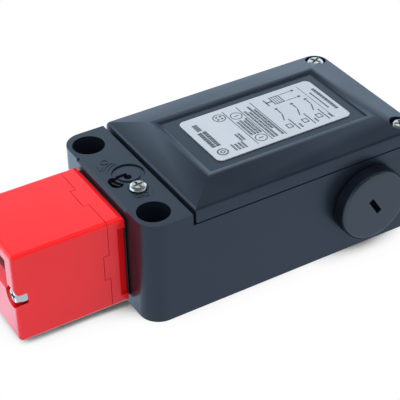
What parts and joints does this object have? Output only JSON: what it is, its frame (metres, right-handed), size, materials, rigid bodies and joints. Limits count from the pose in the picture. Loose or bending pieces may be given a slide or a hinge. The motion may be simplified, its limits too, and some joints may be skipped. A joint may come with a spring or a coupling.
{
  "type": "safety switch",
  "caption": "Guard safety switch with a black moulded housing, a red head with key entries, a solenoid lock and screw-closed conduit entries.",
  "frame": {"origin": "centre of the whole switch in plan, on its flat mounting face", "axes": "+Z out of the mounting face to the cover, +X from the red head to the far end, +Y across"},
  "size_m": [0.1458, 0.072, 0.0422],
  "materials": {
    "black_moulding": "fine satin moulding",
    "black_plug": "satin moulding",
    "black_rubber": "matt",
    "label_film": "printed silver-grey film",
    "red_enamel": "semi-gloss enamel on a casting",
    "screw_steel": "bright plated steel",
    "spring_steel": "bright wire",
    "machined_steel": "turned",
    "cam_plastic": "natural moulding",
    "grey_moulding": "moulded",
    "dark_moulding": "moulded",
    "blue_moulding": "moulded",
    "green_moulding": "moulded",
    "copper_wire": "enamelled wire",
    "contact_brass": "stamped"
  },
  "bodies": {
    "housing_body": {"housing": "black_moulding", "cover": "black_moulding", "cover_gasket": "black_rubber", "label_plate": "label_film", "cover_screws": "screw_steel", "head_body": "red_enamel", "head_base": "red_enamel", "head_gasket": "black_rubber", "head_screws": "screw_steel", "cam_axle": "machined_steel", "plunger_spring": "spring_steel", "plunger_seal": "black_rubber", "release_lock_screw": "screw_steel", "plug_front": "black_plug", "plug_back": "black_plug", "plug_seals": "black_rubber", "inner_frame": "grey_moulding", "frame_screws": "screw_steel", "solenoid_yoke": "machined_steel", "coil_bobbin": "cam_plastic", "coil_winding": "copper_wire", "armature_spring": "spring_steel", "contact_block_left": "dark_moulding", "contact_block_right": "dark_moulding", "fixed_contacts": "contact_brass", "terminal_screws": "screw_steel", "coil_terminal": "green_moulding"},
    "cam_wheel_body": {"cam_wheel": "cam_plastic"},
    "plunger_body": {"plunger": "machined_steel", "slider": "blue_moulding", "bridge_contacts": "contact_brass"},
    "armature_body": {"armature": "machined_steel", "lock_bar": "machined_steel"},
    "release_body": {"release_disc": "black_moulding"}
  },
  "joints": [
    {"name": "cam_turn", "type": "hinge", "parent": "housing_body", "child": "cam_wheel_body", "pos_m": [-0.0543, 0, 0.0191], "axis": [0, 1, 0], "range_deg": [0, 60]},
    {"name": "plunger_slide", "type": "slide", "parent": "housing_body", "child": "plunger_body", "axis": [-1, 0, 0], "range_m": [0, 0.004]},
    {"name": "armature_slide", "type": "slide", "parent": "housing_body", "child": "armature_body", "axis": [0, 1, 0], "range_m": [-0.0015, 0], "stiffness_N_per_m": 200, "springref_m": 0.003},
    {"name": "release_turn", "type": "hinge", "parent": "housing_body", "child": "release_body", "pos_m": [-0.023, 0.0005, 0.0386], "axis": [0, 0, -1], "range_deg": [0, 180]}
  ],
  "couplings": [
    {"joint": "plunger_slide", "follows": "cam_turn", "m_per_rad": 0.0038}
  ]
}
